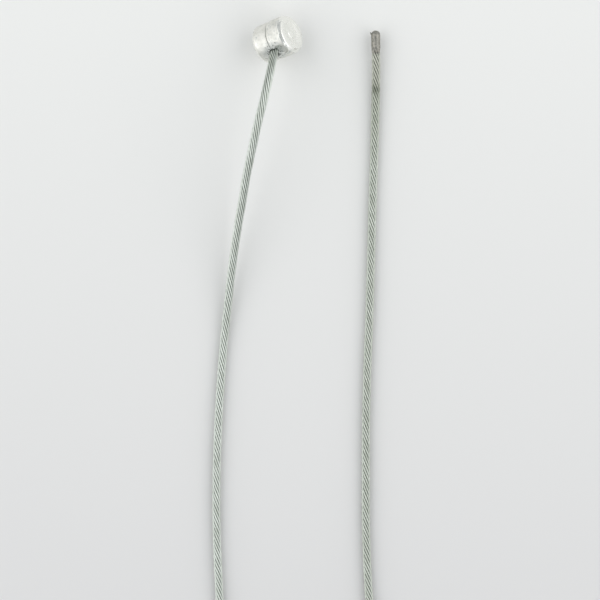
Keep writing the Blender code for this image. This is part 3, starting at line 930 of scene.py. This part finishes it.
def rubbed(point):
    """How far tumbling has rubbed the casting bright: its near rim most, then the ring round the dish."""
    reach = math.hypot(point.x, point.y)
    if point.z > HALF_LENGTH - 0.65 * MM and reach > BARREL_RADIUS - RIM_WIDTH:
        return 1.0
    if point.z > HALF_LENGTH - 0.5 * MM:
        return 0.8 if reach > DISH_RADIUS - 0.1 * MM else 0.45
    if point.z < 0.6 * MM - HALF_LENGTH and reach > 2.8 * MM:
        return 0.6
    return 0.0


def cut_turned(obj, outline, shift, painted_wall_shade):
    """Cuts a turned shape, laid along +X, out of a mesh object, and gives its walls that much painted shade.
    """
    whole = obj.data
    cutter_mesh = turned("cutter", dense(outline, 0.25 * MM), 96)
    cutter_mesh.transform(shift @ Matrix.Rotation(math.radians(90), 4, "Y"))
    mark(cutter_mesh, skin=[painted_wall_shade] * len(cutter_mesh.vertices))
    cutter = placed("cutter", cutter_mesh)
    cut = obj.modifiers.new("cut", "BOOLEAN")
    cut.operation = "DIFFERENCE"
    cut.object = cutter
    obj.data = plain_mesh(obj)
    bpy.data.objects.remove(cutter)
    for mesh in (whole, cutter_mesh):
        bpy.data.meshes.remove(mesh)


def make_nipple(settings):
    """The die-cast barrel with the skin, the parting line and the mouth that the die gave it."""
    mesh = turned("cast_nipple", dense(nipple_outline(), 0.085 * MM), settings.sides)
    depths = []
    moved = []
    for vert in mesh.vertices:
        depth = casting_skin(vert.co, settings.near_skin, settings.far_skin)
        # Twice the full depth stands for the thin channel at the parting, which is painted dark as shade.
        depths.append(2.0 if abs(vert.co.z) < 0.05 * MM else depth / settings.near_skin)
        moved.append(vert.co - vert.normal * max(0.0, depth))
    for vert, place in zip(mesh.vertices, moved):
        vert.co = place
    mark(mesh, skin=depths, rub=[rubbed(vert.co) for vert in mesh.vertices])
    nipple = placed("cast_nipple", mesh)

    # The bore and the pocket point along the nipple's own +X.
    # The bore's walls get painted shade; the pocket's value is too low to show it.
    for outline, offset, painted_wall_shade in ((bore_outline(), 0.0, 1.0), (recess_outline(), RECESS_OFFSET, 0.5)):
        cut_turned(nipple, outline, Matrix.Translation((0, 0, offset)), painted_wall_shade)
    made = nipple.data
    made.name = "cast_nipple"
    mouth = Vector((BARREL_RADIUS, 0, 0))
    # How near the mouth each point lies, for the painted shade and the specks of dirt round it.
    mark(made, soil=[max(0.0, 1.0 - (vert.co - mouth).length / MOUTH_SOIL_AND_SHADE_REACH) for vert in made.vertices])
    made.transform(nipple_place())
    made.materials.clear()
    made.materials.append(cast_zinc(settings))
    made.shade_smooth()
    made.set_sharp_from_angle(angle=math.radians(38))
    return nipple


def rounded_box(half_width, low, high, corner, steps):
    """The outline of a box with round corners, as (across, height) points."""
    return [
        *arc((half_width - corner, low + corner), corner, -90, 0, steps),
        *arc((half_width - corner, high - corner), corner, 0, 90, steps),
        *arc((corner - half_width, high - corner), corner, 90, 180, steps),
        *arc((corner - half_width, low + corner), corner, 180, 270, steps),
    ]


def band_section(width, thickness):
    """The tie's section as (side, outward) points: a flat band with round edges and the bulge of its wire."""
    edge = thickness / 2
    half = width / 2 - edge
    core = CORE_HALF_WIDTH
    over_core = [math.pi * i / 8 for i in range(1, 8)]
    round_edge = [math.pi * i / 5 for i in range(1, 5)]
    return [
        *((half - (half - core) * i / 3, thickness) for i in range(4)),
        *((core * math.cos(a), thickness + CORE_BULGE * math.sin(a)) for a in over_core),
        *((-core - (half - core) * i / 3, thickness) for i in range(4)),
        *((-half - edge * math.sin(a), edge + edge * math.cos(a)) for a in round_edge),
        *((-half + half * 2 * i / 6, 0.0) for i in range(7)),
        *((half + edge * math.sin(a), edge - edge * math.cos(a)) for a in round_edge),
    ]


def skin_rings(shape, rings, closed):
    """Faces between rings of points, with a cap at each end of an open row of rings."""
    verts = [[shape.verts.new(point) for point in ring] for ring in rings]
    pairs = list(zip(verts, verts[1:]))
    if closed:
        pairs.append((verts[-1], verts[0]))
    for first, second in pairs:
        for i in range(len(first)):
            j = (i + 1) % len(first)
            shape.faces.new((first[i], first[j], second[j], second[i]))
    if not closed:
        shape.faces.new(verts[0][::-1])
        shape.faces.new(verts[-1])


def make_tie(name, angle, settings, finish):
    """One wire tie: its band round the coil and its two ends twisted together on top."""
    half = settings.width / 2
    inner_wall = math.sqrt(COIL_INNER**2 - half**2) - FIT_GAP
    outer_wall = COIL_OUTER + FIT_GAP
    half_width = (outer_wall - inner_wall) / 2
    top = COIL_LIFT + COIL_HEIGHT + FIT_GAP
    section = band_section(settings.width, TIE_THICKNESS - CORE_BULGE)
    loop = dense(rounded_box(half_width, TIE_THICKNESS, top, TIE_CORNER, 7), 0.8 * MM)[:-1]
    rings = []
    count = len(loop)
    for i in range(count):
        before, here, after = (Vector((*loop[k % count], 0)) for k in (i - 1, i, i + 1))
        way = (after - before).normalized()
        outward = Vector((way.y, -way.x, 0))
        rings.append([(here.x + outward.x * out, side, here.y + outward.y * out) for side, out in section])
    shape = bmesh.new()
    skin_rings(shape, rings, True)

    # The two ends, twisted together: they rise from the band and come down on the coil beside it.
    raised = top + TIE_THICKNESS + TAIL_HALF_WIDTH
    root = raised - TAIL_HALF_WIDTH + TAIL_HALF_THICKNESS / 2
    outline = rounded_box(TAIL_HALF_WIDTH, -TAIL_HALF_THICKNESS, TAIL_HALF_THICKNESS, TAIL_CORNER, 3)
    tail = []
    steps = 60
    for step in range(steps + 1):
        share = step / steps
        if share < 0.2:
            height = root + (raised - root) * share / 0.2
        else:
            height = raised - FIT_GAP * min(1.0, (share - 0.2) / 0.4)
        middle = Vector((-0.6 * MM, 0.3 * MM + TAIL_LENGTH * share, height))
        turn = math.pi * TAIL_HALF_TURNS * share
        wide = Vector((math.cos(turn), 0, math.sin(turn)))
        thick = Vector((-math.sin(turn), 0, math.cos(turn)))
        tail.append([tuple(middle + wide * a + thick * b) for a, b in outline])
    skin_rings(shape, tail, False)
    bmesh.ops.recalc_face_normals(shape, faces=shape.faces)
    reach = (outer_wall + inner_wall) / 2
    place = Matrix.Translation((*on_coil(reach, angle), 0)) @ Matrix.Rotation(angle, 4, "Z")
    bmesh.ops.transform(shape, matrix=place, verts=shape.verts)
    mesh = bpy.data.meshes.new(name)
    shape.to_mesh(mesh)
    shape.free()
    mesh.materials.append(finish)
    mesh.shade_smooth()
    mesh.set_sharp_from_angle(angle=math.radians(40))
    return placed(name, mesh)


def make_camera():
    """Straight above, as far away as the photograph's flat view tells."""
    camera = placed("camera", bpy.data.cameras.new("camera"))
    camera.data.sensor_width = 36.0
    camera.data.lens = 201.6
    camera.data.clip_start = 0.01
    camera.location = (3.946 * MM, -46.27 * MM, 0.6)
    bpy.context.scene.camera = camera


def add_lamp(name, place, target, size, power):
    """A soft lamp, as a large diffuser gives it, that the camera doesn't see."""
    data = bpy.data.lights.new(name, "AREA")
    data.shape = "RECTANGLE"
    data.size, data.size_y = size
    data.energy = power
    lamp = placed(name, data)
    lamp.location = place
    lamp.rotation_euler = (Vector(target) - Vector(place)).to_track_quat("-Z", "Y").to_euler()
    lamp.visible_camera = False


def make_sky():
    """A pale tent with bright sides left and right, dimmer in front, behind and above."""
    world = bpy.data.worlds.new("light_tent")
    world.use_nodes = True
    tree = world.node_tree
    tree.nodes.clear()
    way = add_node(tree, "ShaderNodeTexCoord", out="Generated")
    across = add_node(tree, "ShaderNodeSeparateXYZ", (way,), "X")
    aside = add_node(tree, "ShaderNodeMath", (across,), operation="ABSOLUTE")
    shade = add_node(tree, "ShaderNodeValToRGB", {"Fac": aside})
    set_stops(shade.node, [(0.0, "A6AAAC"), (0.25, "B8BCBE"), (0.52, "E4E6E7"), (0.74, "FEFFFF")])
    sky = add_node(tree, "ShaderNodeBackground", {"Color": shade, "Strength": 1.0})
    add_node(tree, "ShaderNodeOutputWorld", {"Surface": sky})
    bpy.context.scene.world = world


class CABLE_OT_stage(bpy.types.Operator):
    """Add the camera, the table, the lamps and the tent"""

    bl_idname = "cable.stage"
    bl_label = "Stage"

    def execute(self, context):
        settings = context.scene.brake_cable.stage
        make_camera()
        make_sky()
        middle = (3.5 * MM, -60 * MM, 0)
        add_lamp("left_lamp", (-0.45, 0.02, 0.50), middle, LAMP_SIZE, settings.left_power)
        add_lamp("right_lamp", (0.46, -0.06, 0.48), middle, LAMP_SIZE, settings.right_power)
        mesh = bpy.data.meshes.new("table")
        corners = [(x * TABLE_REACH, y * TABLE_REACH, 0) for x, y in ((-1, -1), (1, -1), (1, 1), (-1, 1))]
        mesh.from_pydata(corners, [], [(0, 1, 2, 3)])
        mesh.materials.append(table_paper(settings))
        table = placed("table", mesh)
        context.scene.view_settings.view_transform = "Standard"
        return {"FINISHED"}


class CABLE_OT_strand(bpy.types.Operator):
    """Build the stranded wire along its whole route"""

    bl_idname = "cable.strand"
    bl_label = "Strand"

    def execute(self, context):
        strand = make_strand(context.scene.brake_cable.strand)
        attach(strand, "root")
        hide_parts("head_stretch", "coil", "tail_stretch")
        return {"FINISHED"}


class CABLE_OT_tip(bpy.types.Operator):
    """Build the fused tip"""

    bl_idname = "cable.tip"
    bl_label = "Fused tip"

    def execute(self, context):
        settings = context.scene.brake_cable
        tip = make_tip(settings.tip, settings.strand)
        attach(tip, "root")
        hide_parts("fused_tip")
        return {"FINISHED"}


class CABLE_OT_nipple(bpy.types.Operator):
    """Build the cast nipple and finish the root inside it"""

    bl_idname = "cable.nipple"
    bl_label = "Nipple"

    def execute(self, context):
        nipple = make_nipple(context.scene.brake_cable.nipple)
        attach(nipple, "root")
        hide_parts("nipple")
        root = frame["nodes"]["splayed_root"]
        root.data.materials.clear()
        root.data.materials.append(bare_wire_ends())
        return {"FINISHED"}


class CABLE_OT_ties(bpy.types.Operator):
    """Build the two ties round the coil"""

    bl_idname = "cable.ties"
    bl_label = "Ties"

    def execute(self, context):
        settings = context.scene.brake_cable.tie
        finish = tie_plastic(settings)
        for node, angle in TIE_ANGLES.items():
            tie = make_tie(node.replace("coil_tie", "wire_tie"), angle, settings, finish)
            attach(tie, "root")
            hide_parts(node)
        return {"FINISHED"}


class CABLE_OT_declare(bpy.types.Operator):
    bl_idname = "cable.declare"
    bl_label = "Declare the cord"

    def execute(self, context):
        path = [list(point) for point in strand_rings()[0]]
        return {"FINISHED"}


STEPS = (CABLE_OT_stage, CABLE_OT_strand, CABLE_OT_tip, CABLE_OT_nipple, CABLE_OT_ties, CABLE_OT_declare)


class CABLE_PT_panel(bpy.types.Panel):
    """The cable's steps in the order they are built"""

    bl_idname = "CABLE_PT_panel"
    bl_label = "Inner Brake Cable"
    bl_space_type = "VIEW_3D"
    bl_region_type = "UI"
    bl_category = "Brake Cable"

    def draw(self, context):
        for step in STEPS:
            self.layout.operator(step.bl_idname)


GROUPS = (StrandSettings, NippleSettings, TipSettings, TieSettings, StageSettings, CableSettings)
CLASSES = (*GROUPS, *STEPS, CABLE_PT_panel)


def register():
    for cls in CLASSES:
        bpy.utils.register_class(cls)
    bpy.types.Scene.brake_cable = PointerProperty(type=CableSettings)


def unregister():
    del bpy.types.Scene.brake_cable
    for cls in reversed(CLASSES):
        bpy.utils.unregister_class(cls)


def main():
    register()
    bpy.ops.cable.stage()
    bpy.ops.cable.strand()
    bpy.ops.cable.tip()
    bpy.ops.cable.nipple()
    bpy.ops.cable.ties()
    bpy.ops.cable.declare()


if __name__ == "__main__":
    main()
